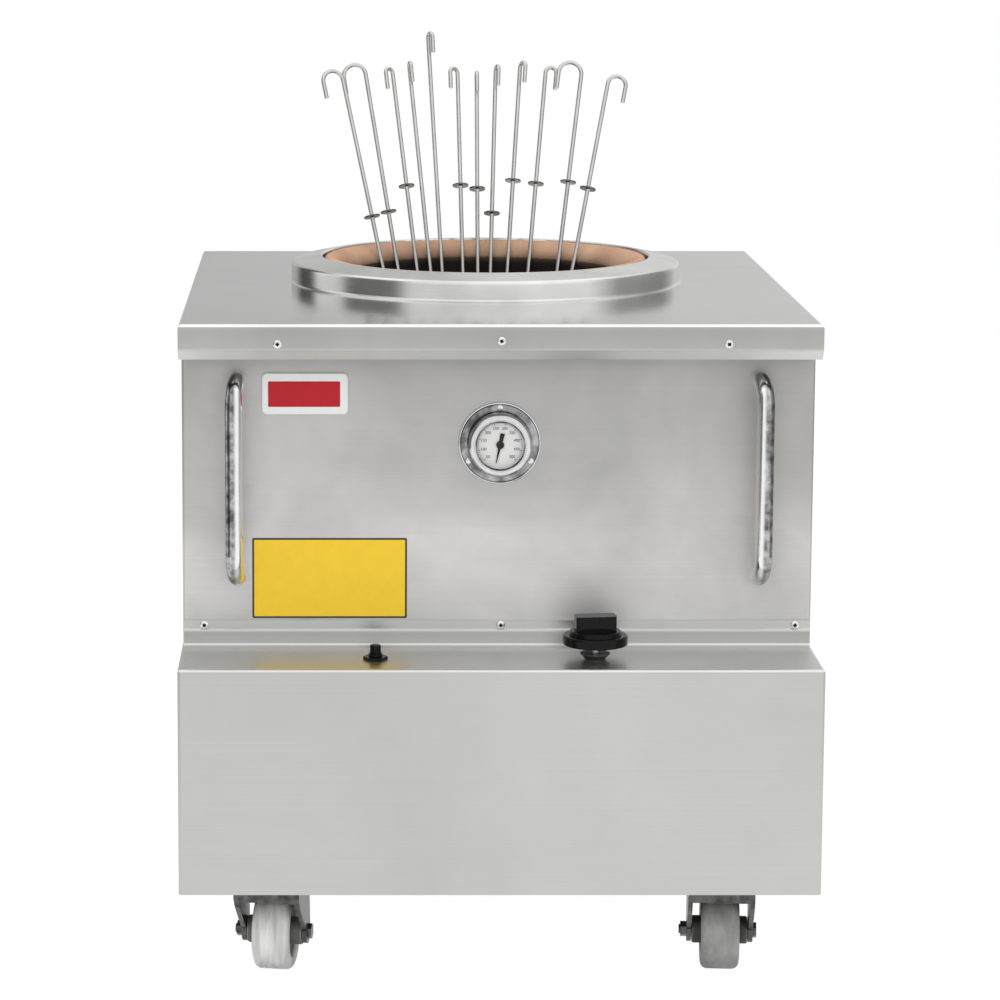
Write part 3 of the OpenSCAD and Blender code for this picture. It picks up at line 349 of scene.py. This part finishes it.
def ring_steel(name, tint, rough, centre):
    grain_pitch = 500
    made, tree, skin = new_material(name)
    moved = add_node(tree, "ShaderNodeMapping")
    moved.inputs["Location"].default_value = tuple(-v for v in centre)
    wire(tree, object_place(tree), moved.inputs["Vector"])
    place = moved.outputs[0]
    parts = split(tree, place)
    radius = math_node(tree, "SQRT", math_node(tree, "ADD",
                                               math_node(tree, "MULTIPLY", parts["X"], parts["X"]),
                                               math_node(tree, "MULTIPLY", parts["Y"], parts["Y"])))
    turned = add_node(tree, "ShaderNodeCombineXYZ")
    wire(tree, math_node(tree, "MULTIPLY", radius, grain_pitch), turned.inputs["X"])
    wire(tree, math_node(tree, "MULTIPLY", parts["Z"], grain_pitch), turned.inputs["Z"])
    wire(tree, math_node(tree, "ARCTAN2", parts["Y"], parts["X"]), turned.inputs["Y"])
    grain = noise_node(tree, turned.outputs[0], 1.5)
    cloud = noise_node(tree, place, 9, 4)
    wire(tree, scaled(tree, tint, range_node(tree, cloud, 0.3, 0.7, 0.78, 1.06)), skin.inputs["Base Color"])
    skin.inputs["Metallic"].default_value = 1
    uneven_gloss(tree, skin, grain, rough, 0.12)
    add_bump(tree, skin, grain, 0.08, 0.0004)
    return made


low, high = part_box("mouth_collar")
mouth = Vector(((low[0] + high[0]) / 2, (low[1] + high[1]) / 2, low[2]))
paint_nodes(ring_steel("collar_steel", (0.84, 0.84, 0.83), 0.19, mouth), "mouth_collar")


# Clay pot: hand-thrown fired clay, tan at the lip and painted near-black further down as painted shade
# inside the deep pot.
# Fine sand and thumb marks roughen it.
def two_tones(tree, value, dark, light, low=0, high=1):
    ramp = add_node(tree, "ShaderNodeValToRGB")
    for stop, tone, place in zip(ramp.color_ramp.elements, (dark, light), (low, high)):
        stop.position = place
        stop.color = opaque(tone)
    wire(tree, value, ramp.inputs["Fac"])
    return ramp.outputs["Color"]


def fired_clay():
    clay_shade_low, clay_shade_high, clay_shade_wander = 0.861, 0.891, 0.012
    made, tree, skin = new_material("fired_clay")
    place = object_place(tree)
    sand = noise_node(tree, place, 420, 3)
    patch = noise_node(tree, place, 11, 5)
    body = two_tones(tree, patch, (0.48, 0.28, 0.17), (0.64, 0.41, 0.275), 0.3, 0.72)
    # Painted shade: below the lip the clay goes near-black along a wavering line.
    height = math_node(tree, "ADD", split(tree, place)["Z"], swing(tree, patch, clay_shade_wander))
    clay_unshaded = range_node(tree, height, clay_shade_low, clay_shade_high, smooth=True)
    colour = mix_node(tree, clay_unshaded, (0.02, 0.016, 0.013, 1), body, "RGBA")
    wire(tree, colour, skin.inputs["Base Color"])
    skin.inputs["Roughness"].default_value = 0.92
    add_bump(tree, skin, math_node(tree, "ADD", sand, math_node(tree, "MULTIPLY", patch, 2)), 0.5, 0.001)
    return made


paint_nodes(fired_clay(), "clay_pot")


# Frames, pans, gas line and burner, and the wool round the pot: mill-finish and cast steel, turned brass and
# mineral wool, sooted where the fire reaches. All of it is hidden from the front.
def rough_metal(name, light, dark, rough, metallic, scale=60):
    made, tree, skin = new_material(name)
    spots = noise_node(tree, object_place(tree), scale, 6)
    wire(tree, two_tones(tree, spots, dark, light, 0.35, 0.7), skin.inputs["Base Color"])
    skin.inputs["Metallic"].default_value = metallic
    uneven_gloss(tree, skin, spots, rough, 0.2)
    add_bump(tree, skin, spots, 0.25, 0.0008)
    return made


paint_nodes(rough_metal("frame_steel", (0.34, 0.34, 0.35), (0.22, 0.22, 0.23), 0.5, 1), "base_frame",
            "top_frame", "pot_shelf", "burner_tube", "gas_pipe")
paint_nodes(rough_metal("pan_steel", (0.5, 0.5, 0.5), (0.38, 0.38, 0.39), 0.45, 1), "base_pan", "fire_wall")
paint_nodes(rough_metal("sooted_iron", (0.10, 0.085, 0.075), (0.03, 0.027, 0.025), 0.8, 0.6),
            "flame_deflector", "burner")
paint_nodes(rough_metal("turned_brass", (0.72, 0.53, 0.25), (0.58, 0.41, 0.18), 0.35, 1, 200), "gas_valve",
            "pilot_burner")
paint_nodes(rough_metal("inlet_steel", (0.62, 0.62, 0.60), (0.48, 0.48, 0.47), 0.4, 1, 120), "gas_inlet")
paint_nodes(rough_metal("mineral_wool", (0.62, 0.56, 0.38), (0.45, 0.40, 0.27), 0.95, 0, 90), "insulation")


# Fasteners, caster forks and plates, and the collar under the knob: zinc plate with a faint crystal spangle.
# It is pale on the small parts and dark on the casters; the collar under the knob is dark with painted shade
# of the knob.
zinc = rough_metal("zinc_plate", (0.72, 0.72, 0.71), (0.56, 0.56, 0.56), 0.32, 1, 140)
paint_nodes(zinc, "handle_nuts", "thermometer_stem", "valve_stem")
paint_nodes(rough_metal("screw_steel", (0.88, 0.88, 0.87), (0.76, 0.76, 0.76), 0.25, 1, 140), "panel_screws",
            "thermometer_screws")
paint_nodes(rough_metal("fork_zinc", (0.15, 0.15, 0.147), (0.055, 0.055, 0.054), 0.34, 1, 90),
            "caster_plates", "caster_bolts", "fork_front_left", "fork_front_right", "fork_rear_left",
            "fork_rear_right")
# The collar under the knob is dark as painted shade of the knob above it.
paint_nodes(rough_metal("zinc_painted_shade", (0.16, 0.16, 0.16), (0.09, 0.09, 0.09), 0.4, 0.8, 140), "knob_bezel")


# Cross recesses of the six screws in front: near-black bars on the heads, painted shade of their slots.
# Each is two thin crossed bars, level with the dome of its head.
def make_piece(name, mesh_maker, material, body="root"):
    shell = bmesh.new()
    mesh_maker(shell)
    bmesh.ops.recalc_face_normals(shell, faces=shell.faces)
    mesh = bpy.data.meshes.new(name)
    shell.to_mesh(mesh)
    shell.free()
    piece = bpy.data.objects.new(name, mesh)
    scene.collection.objects.link(piece)
    mesh.materials.append(material)
    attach(piece, body)


def add_block(shell, size, turn):
    bmesh.ops.create_cube(shell, size=1, matrix=turn @ Matrix.Diagonal((*size, 1)))


def black_paint(name, tint, rough, shine=0.5):
    made, tree, skin = new_material(name)
    skin.inputs["Specular IOR Level"].default_value = shine
    fleck = noise_node(tree, object_place(tree), 220, 4)
    shade = range_node(tree, fleck, to_low=0.75, to_high=1.35)
    wire(tree, scaled(tree, tint, shade), skin.inputs["Base Color"])
    uneven_gloss(tree, skin, fleck, rough, 0.12)
    return made


def screw_recesses(shell):
    head_rise = 0.0031
    upstand_thick = 0.002
    bar = (0.0050, 0.0003, 0.0024)
    lip_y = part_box("top_plate")[0][1]
    ledge_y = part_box("front_panel")[0][1] - upstand_thick
    places = [(-0.281, lip_y, 0.834), (0.001, lip_y, 0.838), (0.287, lip_y, 0.834)]
    places += [(x, ledge_y, 0.4615) for x in (-0.377, 0.005, 0.384)]
    for index, (x, y, z) in enumerate(places):
        for quarter in (0, 1):
            turn = Matrix.Rotation(math.radians(20 * index + 90 * quarter), 4, "Y")
            add_block(shell, bar, Matrix.Translation((x, y - head_rise, z)) @ turn)


make_piece("screw_recesses", screw_recesses, black_paint("recess_painted_shade", (0.02, 0.02, 0.02), 0.6))


# Bright chrome of the handles and the thermometer's case, its mirror broken by a thin film of wiping marks.
# The handles' outer sides and the case's dished flange are darkened with painted reflection, mottled by the
# film.
def chrome(name, tint, rough, film_scale, painted_dark_mask):
    made, tree, skin = new_material(name)
    place = object_place(tree)
    film = noise_node(tree, place, film_scale, 5)
    bright = scaled(tree, tint, range_node(tree, film, to_low=0.94, to_high=1.04))
    painted_dark_tone = scaled(tree, bright, range_node(tree, film, 0.35, 0.65, 0.14, 0.60))
    wire(tree, mix_node(tree, painted_dark_mask(tree, place), bright, painted_dark_tone, "RGBA"), skin.inputs["Base Color"])
    skin.inputs["Metallic"].default_value = 1
    uneven_gloss(tree, skin, film, rough, 0.08)
    return made


# Painted reflection: the outer half of each handle is darkened.
def outer_half_painted_reflection(tree, place):
    low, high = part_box("handle_right")
    middle = (low[0] + high[0]) / 2
    off_centre = math_node(tree, "ABSOLUTE", split(tree, place)["X"])
    return range_node(tree, off_centre, middle - 0.001, middle + 0.004, smooth=True)


# Painted reflection: dark and light rings across the case's bezel and dished flange, by distance from its
# centre.
def flange_painted_reflection(tree, place):
    inner, outer = 0.029, 0.054
    painted_rings = ((0.030, 0.2), (0.033, 0.45), (0.0355, 0.1), (0.0395, 0.5), (0.0412, 1), (0.0500, 1),
             (0.0512, 0.1))
    low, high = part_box("thermometer_case")
    centre = ((low[0] + high[0]) / 2, 0, (low[2] + high[2]) / 2)
    moved = vector_node(tree, "SUBTRACT", place, centre)[0]
    reach = vector_node(tree, "LENGTH", vector_node(tree, "MULTIPLY", moved, (1, 0, 1))[0])["Value"]
    return level_ramp(tree, range_node(tree, reach, inner, outer), painted_rings, inner, outer)


paint_nodes(chrome("handle_chrome", (0.88, 0.88, 0.88), 0.14, 75, outer_half_painted_reflection), "handle_left", "handle_right")
paint_nodes(chrome("case_chrome", (0.78, 0.78, 0.79), 0.1, 60, flange_painted_reflection), "thermometer_case")


# Thermometer: a white printed dial with ticks and figures, a black pointer and a clear glass.
# The figures are a plain scale in steps of fifty.
def printed_dial():
    made, tree, skin = new_material("dial_print")
    tooth = noise_node(tree, object_place(tree), 300)
    wire(tree, two_tones(tree, tooth, (0.91, 0.91, 0.90), (0.95, 0.95, 0.94)), skin.inputs["Base Color"])
    skin.inputs["Roughness"].default_value = 0.5
    return made


def clear_glass():
    made, _, skin = new_material("clear_glass")
    skin.inputs["Base Color"].default_value = (0.20, 0.21, 0.21, 1)
    skin.inputs["IOR"].default_value = 1.45
    skin.inputs["Roughness"].default_value = 0.03
    skin.inputs["Alpha"].default_value = 0.05
    return made


paint_nodes(printed_dial(), "thermometer_dial")
paint_nodes(black_paint("pointer_black", (0.006, 0.006, 0.006), 0.4, 0.2), "thermometer_needle")
paint_nodes(clear_glass(), "thermometer_glass")
DIAL_THICK = 0.0015
DIAL_INK = black_paint("dial_ink", (0.03, 0.03, 0.033), 0.6)
TICK_STEPS = 54
STEPS_PER_LONG_TICK = 6
TICK_REACH = 0.0292
FIGURES = 10
FIGURE_STEP = 50
FIGURE_REACH = 0.0218
FIRST_ANGLE = math.radians(225)
SWEEP = math.radians(270)
low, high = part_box("thermometer_dial")
dial_centre = Vector(((low[0] + high[0]) / 2, high[1] - DIAL_THICK, (low[2] + high[2]) / 2))


def dial_ticks(shell):
    thick = 0.0003
    for step in range(TICK_STEPS + 1):
        long = step % STEPS_PER_LONG_TICK == 0
        length = 0.0032 if long else 0.0018
        width = 0.0006 if long else 0.00035
        angle = FIRST_ANGLE - SWEEP * step / TICK_STEPS
        outward = Matrix.Translation((TICK_REACH - length / 2, -thick / 2, 0))
        turn = Matrix.Translation(dial_centre) @ Matrix.Rotation(-angle, 4, "Y") @ outward
        add_block(shell, (length, thick, width), turn)


make_piece("dial_ticks", dial_ticks, DIAL_INK)


def dial_figures():
    rise = 0.0002
    for index in range(FIGURES):
        angle = FIRST_ANGLE - SWEEP * index / (FIGURES - 1)
        words = bpy.data.curves.new("figure", "FONT")
        words.body = str(FIGURE_STEP * (index + 1))
        words.size = 0.0052
        words.align_x = "CENTER"
        words.align_y = "CENTER"
        words.extrude = 0.0001
        holder = bpy.data.objects.new("figure", words)
        mesh = bpy.data.meshes.new_from_object(holder)
        place = dial_centre + Vector((FIGURE_REACH * math.cos(angle), -rise, FIGURE_REACH * math.sin(angle)))
        mesh.transform(Matrix.Translation(place) @ Matrix.Rotation(math.pi / 2, 4, "X"))
        bpy.data.objects.remove(holder)
        mesh.materials.clear()
        mesh.materials.append(DIAL_INK)
        piece = bpy.data.objects.new(f"dial_figure_{index:02d}", mesh)
        scene.collection.objects.link(piece)
        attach(piece, "root")


dial_figures()


# Badge: a bare red enamel panel in a silver frame with round corners, stuck on the front sheet.
# The frame is a raised moulding with a flat back.
def rounded_plate(shell, centre, size, radius, thick, chamfer):
    add_block(shell, (size[0], thick, size[1]), Matrix.Translation(centre))
    corners = [e for e in shell.edges if abs((e.verts[0].co - e.verts[1].co).y) > thick * 0.5]
    bmesh.ops.bevel(shell, geom=corners, offset=radius, segments=8, profile=0.5, affect="EDGES", material=-1)
    front = min(shell.faces, key=lambda f: f.calc_center_median().y)
    bmesh.ops.bevel(shell, geom=list(front.edges), offset=chamfer, segments=2, profile=0.5, affect="EDGES",
                    material=-1)


FACE_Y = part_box("front_panel")[0][1]
BADGE_X, BADGE_Z = -0.2468, 0.7625


def badge_frame(shell):
    centre = Vector((BADGE_X, FACE_Y - 0.00175, BADGE_Z))
    rounded_plate(shell, centre, (0.1096, 0.053), 0.006, 0.0035, 0.0011)


def badge_panel(shell):
    centre = Vector((BADGE_X - 0.0012, FACE_Y - 0.0037, BADGE_Z - 0.0003))
    rounded_plate(shell, centre, (0.092, 0.0329), 0.0012, 0.0004, 0.0001)


def enamel(name, tint, rough, spread=0.06):
    made, tree, skin = new_material(name)
    mottle = noise_node(tree, object_place(tree), 70, 5)
    shade = range_node(tree, mottle, to_low=1 - spread, to_high=1 + spread)
    wire(tree, scaled(tree, tint, shade), skin.inputs["Base Color"])
    uneven_gloss(tree, skin, mottle, rough, 0.1)
    skin.inputs["Specular IOR Level"].default_value = 0.2
    skin.inputs["Coat Weight"].default_value = 0.08
    return made


make_piece("badge_frame", badge_frame, enamel("badge_silver", (0.84, 0.86, 0.85), 0.4, 0.03))
make_piece("badge_panel", badge_panel, enamel("badge_red", (0.50, 0.014, 0.024), 0.35))


# Yellow plate: a bare printed foil with a thin dark border, stuck on the front sheet low at the left.
# It carries no words.
PLATE_X, PLATE_Z = -0.2155, 0.5225


def plate_border(shell):
    centre = Vector((PLATE_X, FACE_Y - 0.00015, PLATE_Z))
    rounded_plate(shell, centre, (0.199, 0.105), 0.002, 0.0003, 0.00005)


def plate_field(shell):
    centre = Vector((PLATE_X, FACE_Y - 0.0004, PLATE_Z))
    rounded_plate(shell, centre, (0.194, 0.100), 0.0012, 0.0002, 0.00005)


make_piece("plate_border", plate_border, black_paint("border_ink", (0.035, 0.03, 0.02), 0.5))
make_piece("plate_field", plate_field, enamel("plate_yellow", (0.93, 0.62, 0.04), 0.45))


# Knob, igniter button and its housing: glossy black phenolic mouldings.
# Handling has left them slightly uneven in gloss. The spark lead has a pale silicone sleeve.
paint_nodes(black_paint("knob_black", (0.004, 0.004, 0.004), 0.14, 0.16), "gas_knob", "igniter_body",
            "igniter_button")
paint_nodes(enamel("lead_sleeve", (0.75, 0.73, 0.68), 0.6), "igniter_lead")


# Caster wheels: grey rubber tread, the hub darkened with painted shade between the fork's legs, two of them
# paler than the others.
# The tread is dusty and scuffed where it rolls.
def grey_rubber(wheel, tint, stretch):
    hub_edge, tread_edge, hub_painted_shade = 0.038, 0.043, 0.22
    made, tree, skin = new_material(f"rubber_{wheel}")
    place = object_place(tree)
    dust = noise_node(tree, vector_node(tree, "MULTIPLY", place, stretch)[0], 38, 6)
    shade = range_node(tree, dust, 0.3, 0.7, 0.72, 1.12)
    low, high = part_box(wheel)
    hub = tuple((a + b) / 2 for a, b in zip(low, high))
    from_hub = vector_node(tree, "DISTANCE", place, hub)["Value"]
    # Painted shade: the hub is darker than the tread.
    hub_shade_factor = range_node(tree, from_hub, hub_edge, tread_edge, hub_painted_shade, smooth=True)
    wire(tree, scaled(tree, tint, math_node(tree, "MULTIPLY", shade, hub_shade_factor)), skin.inputs["Base Color"])
    skin.inputs["Roughness"].default_value = 0.7
    add_bump(tree, skin, dust, 0.3, 0.0006)
    return made


for wheel in ("wheel_front_left", "wheel_rear_right"):
    paint_nodes(grey_rubber(wheel, (0.90, 0.90, 0.88), (4.0, 1.0, 0.3)), wheel)
for wheel in ("wheel_front_right", "wheel_rear_left"):
    paint_nodes(grey_rubber(wheel, (0.42, 0.42, 0.405), (2.0, 1.0, 1.0)), wheel)


# Skewers: drawn stainless wire, darker lower down, with the stop disc on ten of them darkened as painted
# shade.
# The rods carry faint drawing marks.
def stop_disc(skewer, axis):
    rim_reach = 0.008
    below_hook = 0.9
    points = [vertex.co for vertex in frame["nodes"][skewer].data.vertices]
    tip = min(points, key=lambda point: point.z)
    along = [(point - tip).dot(axis) for point in points]
    out = [(point - tip).cross(axis).length for point in points]
    rim = [a for a, b in zip(along, out) if b > rim_reach and a < below_hook * max(along)]
    return tip + axis * (sum(rim) / len(rim)) if rim else None


def on_disc(tree, place, disc, axis):
    disc_reach, rod_reach = 0.0135, 0.0044
    moved = vector_node(tree, "SUBTRACT", place, disc)[0]
    reach = vector_node(tree, "LENGTH", moved)["Value"]
    off_rod = vector_node(tree, "LENGTH", vector_node(tree, "CROSS_PRODUCT", moved, axis)[0])["Value"]
    return math_node(tree, "MULTIPLY", math_node(tree, "LESS_THAN", reach, disc_reach),
                     math_node(tree, "GREATER_THAN", off_rod, rod_reach))


def drawn_wire(skewer):
    made, tree, skin = new_material(f"wire_{skewer}")
    place = object_place(tree)
    marks = noise_node(tree, place, 30, 3)
    height_level = range_node(tree, split(tree, place)["Z"], 0.80, 1.02, 0.42, 0.62, smooth=True)
    level = math_node(tree, "MULTIPLY", height_level,
                      math_node(tree, "ADD", math_node(tree, "MULTIPLY", marks, 0.4), 0.8))
    lift = next(row for row in frame["record"]["behaviour"]["joints"] if row["name"] == f"{skewer}_lift")
    axis = Vector(lift["axis"]).normalized()
    disc = stop_disc(skewer, axis)
    # Painted shade: the stop disc is darkened round the rod.
    if disc:
        disc_painted_shade = math_node(tree, "MULTIPLY", on_disc(tree, place, disc, axis), 0.72)
        level = math_node(tree, "MULTIPLY", level, math_node(tree, "SUBTRACT", 1, disc_painted_shade))
    wire(tree, scaled(tree, (1, 0.99, 0.97), level), skin.inputs["Base Color"])
    skin.inputs["Metallic"].default_value = 1
    uneven_gloss(tree, skin, marks, 0.22, 0.1)
    return made


for index in range(1, 13):
    skewer = f"skewer_{index:02d}"
    paint_nodes(drawn_wire(skewer), skewer)
